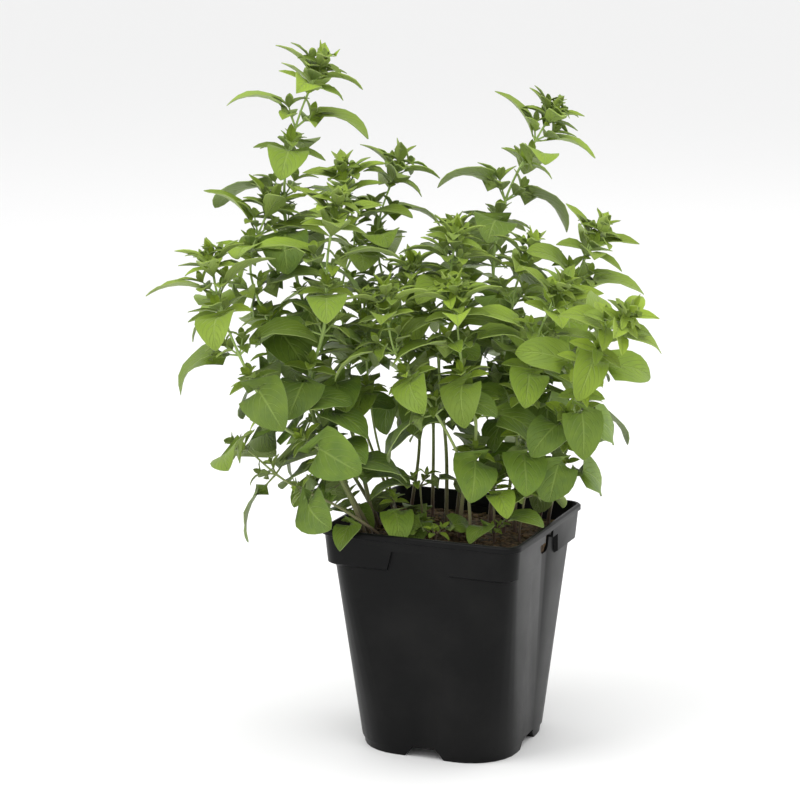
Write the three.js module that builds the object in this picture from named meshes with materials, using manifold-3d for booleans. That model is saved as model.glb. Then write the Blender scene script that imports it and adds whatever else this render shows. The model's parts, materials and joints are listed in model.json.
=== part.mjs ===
// Potted oregano: a square nursery pot, the potting mix in it and the leafy shoots that grow from it.
// Millimetres, +Z up. The origin is on the ground, under the middle of the pot and of the whole plant.
import * as THREE from 'three';
import { mergeVertices } from 'three/addons/utils/BufferGeometryUtils.js';
import Module from 'manifold-3d';

const wasm = await Module();
wasm.setup();

// ---------------------------------------------------------------- pot sizes
const POT_HEIGHT = 122;
const TOP_WIDTH = 103.6; // outside of the plain wall, carried up to the top
const BASE_WIDTH = 86; // outside of the plain wall at the ground
const WALL = 1.2;
const TOP_CORNER = 8; // corner radius at the collar
const BASE_CORNER = 26; // corner radius at the ground
const LIP_HEIGHT = 3;
const LIP_OVERHANG = 0.8; // how far the lip stands out of the collar
const COLLAR_HEIGHT = 20; // from the top of the pot to the collar's lower edge
const COLLAR_STEP = 2.4; // how far the collar stands out of the wall
const COLLAR_BEVEL = 1.6;
const PANEL_TOP_DROP = 8.5; // top of each flush panel below the top of the pot
const PANEL_TOP_WIDTH = 28;
const PANEL_BASE_WIDTH = 35;
const SLOT_WIDTH = 12; // label slot in the +X face
const SLOT_TOP_DROP = 4.6;
const SLOT_BASE_DROP = 15.7;
const SLOT_CORNER = 4;
const FOOT_BAND = 4.4; // height of the slightly narrower band at the ground
const FOOT_INSET = 0.6;
const FOOT_WIDTH = 5; // of the foot ring under the floor
const FLOOR_RISE = 5.8; // ground to the underside of the floor
const FLOOR_THICKNESS = 1.4;
const NOTCH_BASE_WIDTH = 22;
const NOTCH_TOP_WIDTH = 13;
const DRAIN_COUNT = 8;
const DRAIN_DIAMETER = 3.6;
const DRAIN_CIRCLE = 48; // diameter of the circle of drain holes

// --------------------------------------------------------------- soil sizes
const SOIL_GAP = 0.3; // between the potting mix and the pot
const SOIL_DROP = 11.2; // below the top of the pot, along the walls
const SOIL_CROWN = 2.6; // how much higher the middle is
const CLOD = 0.7; // height of the lumps on the surface
const STEM_SEAT = 0.3; // between a stem's foot and the potting mix
const STEM_ROOT = 4; // length of stem that is trimmed to the soil's surface
const PLAN_WIDTH = 99; // width of the potting mix that the shoots' places are planned on

// --------------------------------------------------------- stems and leaves
const STEM_SIDES = 4; // oregano has square stems
const STEM_STEP = 18; // longest stretch of stem between two rings
const STEM_TIP_RADIUS = 0.6;
const BLADE_TOP = 0.35; // upper face above the leaf's middle line
const BLADE_BASE = 0.6; // lower face, where the midrib stands out
const LEAF_SIDES = 4; // corners of a ring: both edges, the midrib above and below
const PETIOLE_HALF_WIDTH = 0.9; // where it meets the blade
const PETIOLE_ROOT = 0.4; // how far past the stem's middle it starts
const LEAF_CLEARANCE = 0.5; // least distance from one leaf to the next
const LEAST_EDGE = 0.03; // shorter ones, where leaves meet a stem, are taken out
const TURN_VARIETY = 12; // degrees by which leaves stray from their place round the stem
const DROOP_VARIETY = 16;
const TWIST = 26; // most that a blade twists along its length
const CLEAR_TURNS = [0, 14, -14, 28, -28, 42, -42]; // degrees, tried in this order
const CLEAR_LIFTS = [0, 14, -14, 28];
const CLEAR_SHARES = [1, 0.85, 0.7];

// A pair of leaves by its place below the growing tip, youngest first: the stem below the pair, the share
// of the full leaf length, width to length, degrees above square to the stem, degrees that the blade
// curves down along its length, the petiole's length, and the degrees that each half folds up.
const AGES = [
  { internode: 3.5, share: 0.3, ratio: 0.38, pitch: 66, droop: 12, petiole: 1.6, fold: 32 },
  { internode: 5.5, share: 0.48, ratio: 0.4, pitch: 52, droop: 30, petiole: 2, fold: 28 },
  { internode: 9, share: 0.66, ratio: 0.42, pitch: 46, droop: 50, petiole: 2.6, fold: 24 },
  { internode: 15, share: 0.86, ratio: 0.45, pitch: 46, droop: 68, petiole: 3.4, fold: 20 },
  { internode: 18, share: 1, ratio: 0.5, pitch: 42, droop: 82, petiole: 4.4, fold: 15 },
  { internode: 19, share: 1, ratio: 0.56, pitch: 30, droop: 84, petiole: 5.4, fold: 11 },
  { internode: 20, share: 0.96, ratio: 0.64, pitch: 16, droop: 84, petiole: 6.2, fold: 8 },
  { internode: 21, share: 0.88, ratio: 0.74, pitch: 2, droop: 80, petiole: 6.6, fold: 6 },
];

// The blade's outline at its rings: share of its length from the petiole, share of its half width.
const BLADE_RINGS = [
  [0, 0.1],
  [0.36, 1],
  [0.74, 0.7],
  [1, 0],
];

// Each shoot: the heading in degrees of its youngest pair of leaves, the full leaf length, the stem's
// radius at the soil, how many pairs it carries, the age of the youngest, and the stem's points from the
// soil, [x, y], to the growing tip, [x, y, height above the pot], for potting mix of the planned width.
const SHOOTS = [
  { heading: 22, leaf: 39, radius: 1.5, pairs: 12, age: 0,
    path: [[-34, -27], [-54, -24, 63], [-76, -23, 111], [-88, -21, 169], [-81, -20, 206], [-68, -17, 238]] },
  { heading: 112, leaf: 40, radius: 1.5, pairs: 11, age: 0,
    path: [[11, 26], [10, 46, 74], [-3, 66, 125], [0, 79, 162], [20, 95, 207]] },
  { heading: 22, leaf: 36, radius: 1.3, pairs: 10, age: 0,
    path: [[17, 45], [28, 44, 42], [45, 33, 97], [61, 27, 135], [70, 29, 153]] },
  { heading: 112, leaf: 34, radius: 1.2, pairs: 10, age: 0,
    path: [[42, 32], [51, 19, 20], [70, -12, 67], [94, -43, 108], [110, -51, 124]] },
  { heading: 292, leaf: 41, radius: 1.3, pairs: 10, age: 0,
    path: [[-32, -43], [-50, -57, 41], [-69, -72, 59], [-86, -84, 98], [-93, -90, 125], [-96, -91, 144]] },
  { heading: 22, leaf: 37, radius: 1.6, pairs: 11, age: 0,
    path: [[-33, -35], [-49, -42, 29], [-61, -51, 70], [-51, -53, 107], [-48, -55, 144], [-43, -54, 171]] },
  { heading: 22, leaf: 37, radius: 1.2, pairs: 10, age: 0,
    path: [[-34, 23], [-32, 30, 37], [-50, 40, 94], [-64, 47, 140], [-56, 61, 182]] },
  { heading: 22, leaf: 38, radius: 1.6, pairs: 8, age: 0,
    path: [[8, -12], [10, -13, 15], [19, -18, 52], [14, -27, 89], [12, -32, 127]] },
  { heading: 22, leaf: 37, radius: 1.3, pairs: 9, age: 0,
    path: [[26, 6], [32, 2, 27], [42, -6, 69], [49, -12, 99], [64, -17, 129]] },
  { heading: 112, leaf: 34, radius: 1.3, pairs: 8, age: 0,
    path: [[-6, 4], [-6, 4, 31], [-9, 0, 89], [-1, -2, 136], [2, -3, 152]] },
  { heading: 22, leaf: 34, radius: 1.1, pairs: 7, age: 0,
    path: [[19, -25], [16, -28, 32], [0, -39, 70], [-15, -47, 96], [-19, -49, 127]] },
  { heading: 112, leaf: 42, radius: 1.2, pairs: 10, age: 0,
    path: [[-43, -2], [-66, -10, 37], [-87, -27, 88], [-98, -42, 133], [-89, -34, 167]] },
  { heading: 22, leaf: 36, radius: 1.1, pairs: 9, age: 0,
    path: [[-45, 24], [-71, 29, 57], [-80, 36, 114], [-75, 41, 135], [-80, 38, 178]] },
  { heading: 22, leaf: 34, radius: 1.2, pairs: 8, age: 0,
    path: [[30, 12], [28, 20, 49], [24, 23, 114], [33, 27, 143]] },
  { heading: 22, leaf: 30, radius: 0.9, pairs: 6, age: 0,
    path: [[-33, 2], [-42, -8, 43], [-44, -14, 78], [-44, -18, 116]] },
  { heading: 112, leaf: 36, radius: 0.9, pairs: 3, age: 5,
    path: [[-22, -42], [-41, -57, 13], [-68, -66, 27], [-88, -68, 42]] },
  { heading: 112, leaf: 34, radius: 1.1, pairs: 8, age: 0,
    path: [[-21, 22], [-18, 14, 58], [-20, 5, 98], [-24, -1, 134]] },
  { heading: 60, leaf: 34, radius: 1.1, pairs: 8, age: 0,
    path: [[-12, 36], [-10, 46, 48], [-16, 52, 98], [-22, 56, 146]] },
  { heading: 22, leaf: 34, radius: 1.1, pairs: 7, age: 0,
    path: [[34, 42], [46, 54, 38], [48, 66, 83], [44, 72, 118]] },
  { heading: 290, leaf: 24, radius: 0.9, pairs: 1, age: 6, path: [[-40, -38], [-39, -40, 4]] },
  { heading: 300, leaf: 29, radius: 1, pairs: 1, age: 6, path: [[-24, -24], [-24, -26, 9]] },
  { heading: 22, leaf: 26, radius: 0.9, pairs: 2, age: 5, path: [[-12, -14], [-13, -16, 18]] },
  { heading: 40, leaf: 22, radius: 0.9, pairs: 1, age: 6, path: [[2, -33], [4, -35, -1]] },
  { heading: 300, leaf: 26, radius: 0.9, pairs: 2, age: 5, path: [[28, -14], [29, -18, 19]] },
  { heading: 60, leaf: 24, radius: 0.9, pairs: 1, age: 5, path: [[38, -4], [41, -4, 14]] },
  { heading: 60, leaf: 24, radius: 0.9, pairs: 2, age: 5, path: [[-44, -14], [-58, -30, 24]] },
];

// ------------------------------------------------------------------ helpers
const radians = THREE.MathUtils.degToRad;
const mix = THREE.MathUtils.lerp;

/** A closed three.js geometry as a solid, without the flat triangles that lie on an axis. */
function solid(geometry) {
  geometry.deleteAttribute('normal');
  geometry.deleteAttribute('uv');
  const merged = mergeVertices(geometry, 1e-4);
  const corners = merged.index.array;
  const kept = [];
  for (let i = 0; i < corners.length; i += 3) {
    const [a, b, c] = corners.slice(i, i + 3);
    if (a !== b && b !== c && c !== a) kept.push(a, b, c);
  }
  return new wasm.Manifold(new wasm.Mesh({
    numProp: 3,
    vertProperties: Float32Array.from(merged.attributes.position.array),
    triVerts: Uint32Array.from(kept),
  }));
}

/** A named mesh of a finished solid. */
function meshOf(name, shape, finish) {
  const { vertProperties, triVerts } = shape.getMesh();
  const geometry = new THREE.BufferGeometry();
  geometry.setAttribute('position', new THREE.BufferAttribute(vertProperties, 3));
  geometry.setIndex(new THREE.BufferAttribute(triVerts, 1));
  const mesh = new THREE.Mesh(geometry, new THREE.MeshStandardMaterial(finish));
  mesh.name = name;
  return mesh;
}

// ---------------------------------------------------------------------- pot
const CORNER_STEPS = 7;
const SIDE_STEPS = CORNER_STEPS + 1; // a corner's arc and the straight run to the next one

const collarBase = POT_HEIGHT - COLLAR_HEIGHT;
const lipBase = POT_HEIGHT - LIP_HEIGHT;
const rimHalf = TOP_WIDTH / 2 + COLLAR_STEP + LIP_OVERHANG;
const floorTop = FLOOR_RISE + FLOOR_THICKNESS;

const wallHalf = (z) => mix(BASE_WIDTH, TOP_WIDTH, z / POT_HEIGHT) / 2;
const cornerRadius = (z) => mix(BASE_CORNER, TOP_CORNER, Math.min(1, z / collarBase));

/** A point of a rounded square, `step` of the way round, or the centre where the half width is 0. */
function squarePoint(step, half, z, inset) {
  if (half === 0) return new THREE.Vector3(0, 0, z);
  const side = Math.floor(step / SIDE_STEPS);
  const angle = (side + (step % SIDE_STEPS) / CORNER_STEPS) * Math.PI / 2;
  const radius = Math.min(half, cornerRadius(z) - inset);
  const middle = (side + 0.5) * Math.PI / 2;
  const reach = (half - radius) * Math.SQRT2;
  return new THREE.Vector3(
    reach * Math.cos(middle) + radius * Math.cos(angle),
    reach * Math.sin(middle) + radius * Math.sin(angle),
    z,
  );
}

/** A lathe turned about Z and squared: each profile point is [half width, height], axis to axis. */
function squaredLathe(profile, inset = 0) {
  const turns = 4 * SIDE_STEPS;
  const geometry = new THREE.LatheGeometry(profile.map(([half, z]) => new THREE.Vector2(half, z)), turns);
  const position = geometry.attributes.position;
  for (let i = 0; i < position.count; i += 1) {
    const [half, z] = profile[i % profile.length];
    const point = squarePoint(Math.floor(i / profile.length) % turns, half, z, inset);
    position.setXYZ(i, point.x, point.y, point.z);
  }
  return solid(geometry);
}

/** A prism that points out of the pot's face at `heading`, from an outline of [across, height]. */
function facePrism(outline, from, to, heading) {
  const shape = new THREE.Shape(outline.map(([across, z]) => new THREE.Vector2(across, z)));
  const geometry = new THREE.ExtrudeGeometry(shape, { depth: to - from, bevelEnabled: false });
  geometry.rotateX(Math.PI / 2);
  geometry.rotateZ(Math.PI / 2);
  geometry.translate(from, 0, 0);
  geometry.rotateZ(radians(heading));
  return solid(geometry);
}

/** The hollow or the outside of the pot, from the wall inwards by `inset`, up to `top`. */
function potBody(inset, base, top) {
  const wall = squaredLathe([
    [0, base],
    [wallHalf(base) - inset, base],
    [wallHalf(top) - inset, top],
    [0, top],
  ], inset);
  const collarFoot = collarBase + inset;
  let collar = squaredLathe([
    [0, collarFoot],
    [wallHalf(collarFoot) - inset, collarFoot],
    [wallHalf(collarFoot) + COLLAR_STEP - inset, collarFoot + COLLAR_BEVEL],
    [wallHalf(top) + COLLAR_STEP - inset, top],
    [0, top],
  ], inset);
  const low = collarBase - 1;
  const high = POT_HEIGHT - PANEL_TOP_DROP + inset;
  const panel = [
    [-PANEL_BASE_WIDTH / 2 - inset, low],
    [PANEL_BASE_WIDTH / 2 + inset, low],
    [PANEL_TOP_WIDTH / 2 + inset, high],
    [-PANEL_TOP_WIDTH / 2 - inset, high],
  ];
  for (const heading of [0, 90, 180, 270]) {
    collar = collar.subtract(facePrism(panel, BASE_WIDTH / 4, TOP_WIDTH, heading));
  }
  return wall.add(collar);
}

/** The pot: a thin square wall with a stepped collar, a lip, a raised floor and four corner feet. */
function makePot() {
  const lip = squaredLathe([
    [0, lipBase - 0.6],
    [wallHalf(lipBase) + COLLAR_STEP, lipBase - 0.6],
    [rimHalf, lipBase],
    [rimHalf, POT_HEIGHT - 0.8],
    [rimHalf - 0.8, POT_HEIGHT],
    [0, POT_HEIGHT],
  ]);
  const feet = squaredLathe([
    [0, 0],
    [wallHalf(0) - FOOT_INSET, 0],
    [wallHalf(FOOT_BAND) - FOOT_INSET, FOOT_BAND],
    [0, FOOT_BAND],
  ]);
  let pot = potBody(0, FOOT_BAND, POT_HEIGHT - 0.1).add(lip).add(feet);
  pot = pot.subtract(potBody(WALL, floorTop, POT_HEIGHT + 1));
  pot = pot.subtract(squaredLathe([
    [0, -1],
    [wallHalf(0) - FOOT_WIDTH, -1],
    [wallHalf(0) - FOOT_WIDTH, FLOOR_RISE],
    [0, FLOOR_RISE],
  ], FOOT_WIDTH));
  const slope = (NOTCH_BASE_WIDTH - NOTCH_TOP_WIDTH) / 2 / FLOOR_RISE;
  const notch = [
    [-NOTCH_BASE_WIDTH / 2 - slope, -1],
    [NOTCH_BASE_WIDTH / 2 + slope, -1],
    [NOTCH_TOP_WIDTH / 2, FLOOR_RISE],
    [-NOTCH_TOP_WIDTH / 2, FLOOR_RISE],
  ];
  for (const heading of [0, 90, 180, 270]) {
    pot = pot.subtract(facePrism(notch, BASE_WIDTH / 4, TOP_WIDTH, heading));
  }
  for (let i = 0; i < DRAIN_COUNT; i += 1) {
    const angle = (i + 0.5) * 2 * Math.PI / DRAIN_COUNT;
    const drill = new THREE.CylinderGeometry(DRAIN_DIAMETER / 2, DRAIN_DIAMETER / 2, 8, 8);
    drill.rotateX(Math.PI / 2);
    drill.translate(DRAIN_CIRCLE / 2 * Math.cos(angle), DRAIN_CIRCLE / 2 * Math.sin(angle), floorTop);
    pot = pot.subtract(solid(drill));
  }
  return pot.subtract(facePrism(slotOutline(), TOP_WIDTH / 4, TOP_WIDTH, 0));
}

/** The label slot's outline: square at the top, with round lower corners. */
function slotOutline() {
  const low = POT_HEIGHT - SLOT_BASE_DROP;
  const high = POT_HEIGHT - SLOT_TOP_DROP;
  const path = new THREE.Path();
  path.moveTo(-SLOT_WIDTH / 2, high);
  path.lineTo(-SLOT_WIDTH / 2, low + SLOT_CORNER);
  path.absarc(-SLOT_WIDTH / 2 + SLOT_CORNER, low + SLOT_CORNER, SLOT_CORNER, Math.PI, 1.5 * Math.PI);
  path.absarc(SLOT_WIDTH / 2 - SLOT_CORNER, low + SLOT_CORNER, SLOT_CORNER, 1.5 * Math.PI, 2 * Math.PI);
  path.lineTo(SLOT_WIDTH / 2, high);
  return path.getPoints(3).map((point) => [point.x, point.y]);
}

// --------------------------------------------------------------------- soil
const soilEdge = POT_HEIGHT - SOIL_DROP;

/** The potting mix: it fills the pot with an even gap, and its top is crowned and lumpy. */
function makeSoil() {
  const inset = WALL + SOIL_GAP;
  const rings = [1.1, 0.86, 0.62, 0.4, 0.2];
  const turns = 4 * SIDE_STEPS;
  const profile = [[0, 0], [rings[0] * rimHalf, 0]];
  for (const share of rings) {
    profile.push([share * rimHalf, soilEdge + SOIL_CROWN * (1 - share * share)]);
  }
  profile.push([0, soilEdge + SOIL_CROWN]);
  const geometry = new THREE.LatheGeometry(profile.map(([r, z]) => new THREE.Vector2(r, z)), turns);
  const position = geometry.attributes.position;
  for (let i = 0; i < position.count; i += 1) {
    const row = i % profile.length;
    const column = Math.floor(i / profile.length) % turns;
    const [half, z] = profile[row];
    const point = squarePoint(column, half, z, inset);
    const lumpy = row > 2 && row < profile.length - 1;
    const clod = lumpy ? CLOD * Math.sin(2.4 * column + 1.9 * row) : 0;
    position.setXYZ(i, point.x, point.y, point.z + clod);
  }
  return potBody(inset, floorTop + SOIL_GAP, POT_HEIGHT).intersect(solid(geometry));
}

// ------------------------------------------------------------------- shoots

/** A unit cylinder bent along a curve, with its own radius at each step. */
function bentStem(curve, radius) {
  const steps = Math.ceil(curve.getLength() / STEM_STEP);
  const frames = curve.computeFrenetFrames(steps, false);
  const geometry = new THREE.CylinderGeometry(1, 1, 1, STEM_SIDES, steps);
  const position = geometry.attributes.position;
  for (let i = 0; i < position.count; i += 1) {
    const step = Math.round((position.getY(i) + 0.5) * steps);
    const width = mix(radius, STEM_TIP_RADIUS, step / steps);
    const point = curve.getPointAt(step / steps);
    point.addScaledVector(frames.normals[step], position.getZ(i) * width);
    point.addScaledVector(frames.binormals[step], position.getX(i) * width);
    position.setXYZ(i, point.x, point.y, point.z);
  }
  return solid(geometry);
}

/** A leaf's middle line: a straight petiole, then an arc that curves away from the stem's tip. */
function leafRail(seat, heading, pitch, droop, petiole, length) {
  const along = (angle) => heading.clone().multiplyScalar(Math.cos(angle))
    .addScaledVector(seat.up, Math.sin(angle));
  const foot = seat.point.clone().addScaledVector(along(pitch), petiole);
  return (share) => {
    const bend = share * droop;
    const chord = share === 0 ? 0 : length * share * Math.sin(bend / 2) / (bend / 2);
    const point = foot.clone().addScaledVector(along(pitch - bend / 2), chord);
    return { point, direction: along(pitch - bend), normal: along(pitch - bend + Math.PI / 2) };
  };
}

/** Turns the diagonals of a leaf's odd strips, so that both faces of its thin blade are cut alike. */
function pairFaces(geometry, spans) {
  const corners = geometry.index.array;
  for (let quad = 0; quad < LEAF_SIDES * (spans - 2); quad += 1) {
    const first = 3 * LEAF_SIDES + 6 * quad;
    const [a, b, d, , c] = corners.slice(first, first + 6);
    if (quad % 2 === 1) corners.set([a, b, c, a, c, d], first);
  }
}

/** One leaf as a closed solid: four corners round each ring, a point at its tip and one in the stem. */
function leafSolid(seat, pose, age, bladeOnly) {
  const heading = seat.across.clone().applyAxisAngle(seat.up, pose.turn);
  const rail = leafRail(seat, heading, pose.pitch, pose.droop, age.petiole, pose.length);
  const halfWidth = pose.length * age.ratio / 2;
  const rings = bladeOnly ? BLADE_RINGS : [null, ...BLADE_RINGS];
  const spans = rings.length - 1;
  const geometry = new THREE.SphereGeometry(1, LEAF_SIDES, spans);
  pairFaces(geometry, spans);
  const position = geometry.attributes.position;
  for (let i = 0; i < position.count; i += 1) {
    const ring = spans - Math.floor(i / (LEAF_SIDES + 1));
    const across = Math.round(Math.sign(Math.round(position.getX(i) * 100)));
    const upper = position.getZ(i) > 0 ? BLADE_TOP : -BLADE_BASE;
    const [share, width] = rings[ring] ?? [0, 0];
    const { point, direction, normal } = rail(share);
    if (rings[ring] === null) point.copy(seat.point).addScaledVector(heading, -PETIOLE_ROOT);
    if (ring > 0 && ring < spans) {
      normal.applyAxisAngle(direction, share * pose.twist);
      const half = Math.max(PETIOLE_HALF_WIDTH, width * halfWidth);
      const rise = half * Math.tan(radians(age.fold));
      point.addScaledVector(direction.cross(normal), across * half);
      point.addScaledVector(normal, across === 0 ? upper : rise);
    }
    position.setXYZ(i, point.x, point.y, point.z);
  }
  return solid(geometry);
}

/** Whether two boxes come nearer than the leaf clearance. */
function boxesNear(a, b) {
  return [0, 1, 2].every((axis) => a.min[axis] < b.max[axis] + LEAF_CLEARANCE
    && b.min[axis] < a.max[axis] + LEAF_CLEARANCE);
}

/** Whether a leaf keeps its clearance: its blade to its own shoot's leaves, all of it to the rest. */
function isClear(shoot, whole, blade, placed) {
  const box = whole.boundingBox();
  return placed.every((other) => {
    if (!boxesNear(box, other.box)) return true;
    if (other.shoot !== shoot) return whole.minGap(other.whole, LEAF_CLEARANCE * 2) >= LEAF_CLEARANCE;
    if (other.blade === null) return true;
    return blade.minGap(other.blade, LEAF_CLEARANCE * 2) >= LEAF_CLEARANCE;
  });
}

/** The first pose of a leaf, nearest to the wanted one, that is clear of all that is placed. */
function growLeaf(shoot, seat, age, length, turn, placed) {
  const variety = Math.sin(7.3 * placed.length);
  const other = Math.sin(4.1 * placed.length + 1);
  for (const share of CLEAR_SHARES) {
    for (const lift of CLEAR_LIFTS) {
      for (const swing of CLEAR_TURNS) {
        const pose = {
          turn: turn + radians(TURN_VARIETY * other + swing),
          pitch: radians(age.pitch + lift),
          droop: radians(age.droop + DROOP_VARIETY * variety),
          twist: radians(TWIST * other),
          length: length * share,
        };
        const whole = leafSolid(seat, pose, age, false);
        const blade = leafSolid(seat, pose, age, true);
        if (isClear(shoot, whole, blade, placed)) return { shoot, whole, blade, box: whole.boundingBox() };
      }
    }
  }
  return null;
}

/** The stem's curve, from below the soil's surface to the growing tip, spread to suit the pot. */
function stemCurve({ path }) {
  const spread = (wallHalf(soilEdge) - WALL - SOIL_GAP) / (PLAN_WIDTH / 2);
  const place = ([x, y], z) => new THREE.Vector3(x * spread, y * spread, z);
  return new THREE.CatmullRomCurve3([
    place(path[0], soilEdge - STEM_ROOT),
    place(path[0], soilEdge + STEM_ROOT),
    ...path.slice(1).map((point) => place(point, POT_HEIGHT + point[2])),
  ]);
}

/** The places of the leaf pairs on a stem, youngest first, each with the frame that it grows in. */
function leafSeats(curve, { heading, pairs, age: youngest }) {
  const length = curve.getLength();
  const seats = [];
  let distance = 1.5;
  for (let k = 0; k < pairs; k += 1) {
    const age = AGES[Math.min(youngest + k, AGES.length - 1)];
    const share = 1 - distance / length;
    const up = curve.getTangentAt(share);
    const angle = radians(heading + 90 * k);
    const across = new THREE.Vector3(Math.cos(angle), Math.sin(angle), 0);
    across.addScaledVector(up, -across.dot(up)).normalize();
    seats.push({ age, point: curve.getPointAt(share), up, across });
    distance += age.internode;
  }
  return seats;
}

/** All the shoots, grown one pair of leaves at a time so that each keeps its share of the light. */
function makeShoots(pot, soil) {
  const placed = [pot, soil].map((whole) => ({ shoot: -1, whole, blade: null, box: whole.boundingBox() }));
  const ground = soil.translate([0, 0, STEM_SEAT]);
  const curves = SHOOTS.map(stemCurve);
  const stems = SHOOTS.map(({ radius }, shoot) => bentStem(curves[shoot], radius));
  stems.forEach((whole, shoot) => placed.push({ shoot, whole, blade: null, box: whole.boundingBox() }));
  const leaves = SHOOTS.map(() => []);
  const seats = SHOOTS.map((shoot, index) => leafSeats(curves[index], shoot));
  const longest = Math.max(...SHOOTS.map(({ pairs }) => pairs));
  for (let k = 0; k < longest; k += 1) {
    SHOOTS.forEach(({ leaf, pairs }, shoot) => {
      if (k >= pairs) return;
      const { age } = seats[shoot][k];
      for (const turn of [0, Math.PI]) {
        const grown = growLeaf(shoot, seats[shoot][k], age, leaf * age.share, turn, placed);
        if (grown) placed.push(grown);
        if (grown) leaves[shoot].push(grown.whole);
      }
    });
  }
  return stems.map((stem, shoot) => {
    const whole = wasm.Manifold.union([stem, ...leaves[shoot]]).subtract(ground);
    return whole.simplify(LEAST_EDGE);
  });
}

// ----------------------------------------------------------------- assembly
const root = new THREE.Group();
const pot = makePot();
const soil = makeSoil();
root.add(meshOf('pot', pot, { color: 0x26272a, roughness: 0.42, metalness: 0 }));
root.add(meshOf('soil', soil, { color: 0x2b1d14, roughness: 0.95, metalness: 0 }));
makeShoots(pot, soil).forEach((shoot, index) => {
  const name = `shoot_${String(index + 1).padStart(2, '0')}`;
  root.add(meshOf(name, shoot, { color: 0x5f8a34, roughness: 0.6, metalness: 0 }));
});

export default root;
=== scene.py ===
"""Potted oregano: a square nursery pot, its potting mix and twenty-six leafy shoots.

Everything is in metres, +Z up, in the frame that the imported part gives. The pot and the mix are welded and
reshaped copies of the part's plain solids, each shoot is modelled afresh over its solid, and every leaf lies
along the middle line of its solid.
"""
import json
import logging
import math
import random
from dataclasses import dataclass, field
from enum import Enum

import bpy
import numpy as np
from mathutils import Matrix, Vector

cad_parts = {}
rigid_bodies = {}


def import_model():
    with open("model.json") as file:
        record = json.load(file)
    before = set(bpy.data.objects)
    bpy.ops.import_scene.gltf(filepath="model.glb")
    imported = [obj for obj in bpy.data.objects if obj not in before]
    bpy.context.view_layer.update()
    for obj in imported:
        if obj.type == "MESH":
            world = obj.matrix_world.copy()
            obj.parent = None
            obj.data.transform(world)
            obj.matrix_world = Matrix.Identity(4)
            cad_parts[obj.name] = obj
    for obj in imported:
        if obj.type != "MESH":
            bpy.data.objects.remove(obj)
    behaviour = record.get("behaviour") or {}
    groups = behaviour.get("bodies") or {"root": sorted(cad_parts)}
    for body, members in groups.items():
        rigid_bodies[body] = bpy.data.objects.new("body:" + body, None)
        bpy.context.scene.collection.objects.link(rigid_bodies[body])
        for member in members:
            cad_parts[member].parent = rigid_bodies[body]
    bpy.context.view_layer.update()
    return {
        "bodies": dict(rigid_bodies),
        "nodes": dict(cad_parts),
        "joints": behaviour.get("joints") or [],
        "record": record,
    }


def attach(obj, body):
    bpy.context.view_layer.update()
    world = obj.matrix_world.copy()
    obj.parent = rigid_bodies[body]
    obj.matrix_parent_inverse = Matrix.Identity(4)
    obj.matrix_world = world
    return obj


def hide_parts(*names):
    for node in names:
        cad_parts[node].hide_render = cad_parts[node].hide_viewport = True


LOG = logging.getLogger("potted_oregano")
MM = 0.001


# ------------------------------------------------------------------ small tools
def deselect_all() -> None:
    """Leave object mode with nothing selected."""
    if bpy.context.object and bpy.context.object.mode != "OBJECT":
        bpy.ops.object.mode_set(mode="OBJECT")
    bpy.ops.object.select_all(action="DESELECT")


def select_only(obj: bpy.types.Object) -> None:
    """Make one object the active and only selected one."""
    deselect_all()
    obj.select_set(True)
    bpy.context.view_layer.objects.active = obj


def name_active(name: str) -> bpy.types.Object:
    """Name the object that was just added, and its mesh.

    Args:
        name: the new name.

    Returns:
        The active object.
    """
    obj = bpy.context.object
    obj.name = name
    obj.data.name = name
    return obj


def apply_modifier(obj: bpy.types.Object, kind: str, **settings: object) -> None:
    """Add a modifier to an object and apply it.

    Args:
        obj: the object to change.
        kind: the modifier's type.
        **settings: values of the modifier's own properties.
    """
    select_only(obj)
    modifier = obj.modifiers.new(kind.title(), kind)
    for key, value in settings.items():
        setattr(modifier, key, value)
    bpy.ops.object.modifier_apply(modifier=modifier.name)


def select_vertices(obj: bpy.types.Object, chosen: np.ndarray) -> None:
    """Select the given vertices of an object and enter edit mode.

    Args:
        obj: the mesh object.
        chosen: one true or false value for each vertex.
    """
    select_only(obj)
    mesh = obj.data
    mesh.vertices.foreach_set("select", chosen.astype(bool))
    edges = np.empty(len(mesh.edges) * 2, dtype=np.int32)
    mesh.edges.foreach_get("vertices", edges)
    mesh.edges.foreach_set("select", chosen[edges.reshape(-1, 2)].all(axis=1))
    mesh.polygons.foreach_set("select", [bool(chosen[list(p.vertices)].all()) for p in mesh.polygons])
    bpy.ops.object.mode_set(mode="EDIT")
    bpy.ops.mesh.select_mode(type="VERT")


def points_of(obj: bpy.types.Object) -> np.ndarray:
    """An object's vertices as an array of n by 3."""
    found = np.empty(len(obj.data.vertices) * 3, dtype=np.float32)
    obj.data.vertices.foreach_get("co", found)
    return found.reshape(-1, 3).astype(float)


def set_points(obj: bpy.types.Object, points: np.ndarray) -> None:
    """Put an object's vertices at new places."""
    obj.data.vertices.foreach_set("co", points.astype(np.float32).ravel())
    obj.data.update()


def set_attribute(obj: bpy.types.Object, name: str, value: float) -> None:
    """Give every vertex of an object the same value of a named attribute.

    Args:
        obj: the mesh object.
        name: the attribute's name.
        value: the value at every vertex.
    """
    mesh = obj.data
    layer = mesh.attributes.get(name) or mesh.attributes.new(name, "FLOAT", "POINT")
    layer.data.foreach_set("value", [value] * len(mesh.vertices))


def copy_of(master: bpy.types.Object, name: str) -> bpy.types.Object:
    """A copy of an object with a mesh of its own.

    Args:
        master: the object to copy.
        name: the copy's name.

    Returns:
        The new object.
    """
    made = master.copy()
    made.data = master.data.copy()
    made.name = name
    made.data.name = name
    bpy.context.scene.collection.objects.link(made)
    return made


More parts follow.
